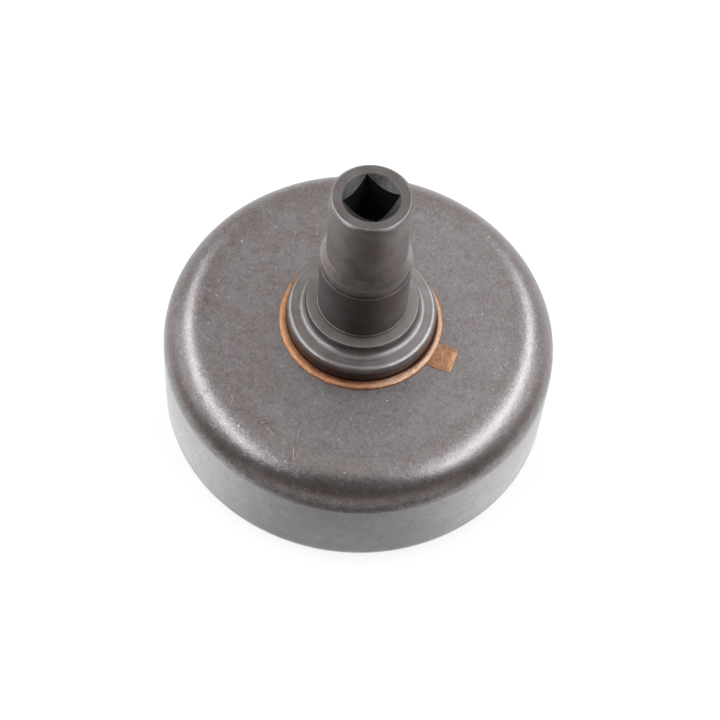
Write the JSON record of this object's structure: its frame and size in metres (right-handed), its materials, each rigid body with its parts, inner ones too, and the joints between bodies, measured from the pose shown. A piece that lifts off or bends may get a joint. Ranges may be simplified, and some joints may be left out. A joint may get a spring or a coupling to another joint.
{
  "type": "clutch drum",
  "caption": "Round steel clutch drum, open underneath, with a stepped drive hub brazed through its web and a countersunk square socket in the hub's nose.",
  "frame": {"origin": "centre of the rim's lower edge, on the axis of rotation", "axes": "+Z runs along the axis of rotation from the open rim to the hub's nose; X and Y are square to the flats of the drive socket"},
  "size_m": [0.067, 0.067, 0.0562],
  "materials": {
    "drum_steel": "satin, browned pressed steel with fine scratches and small bright nicks",
    "hub_steel": "satin, browned turned steel with brighter edges",
    "braze_copper": "matt copper braze, darker where it climbs the flange"
  },
  "bodies": {
    "root": {"drum_cup": "drum_steel", "drive_hub": "hub_steel", "braze_ring": "braze_copper"}
  },
  "joints": []
}
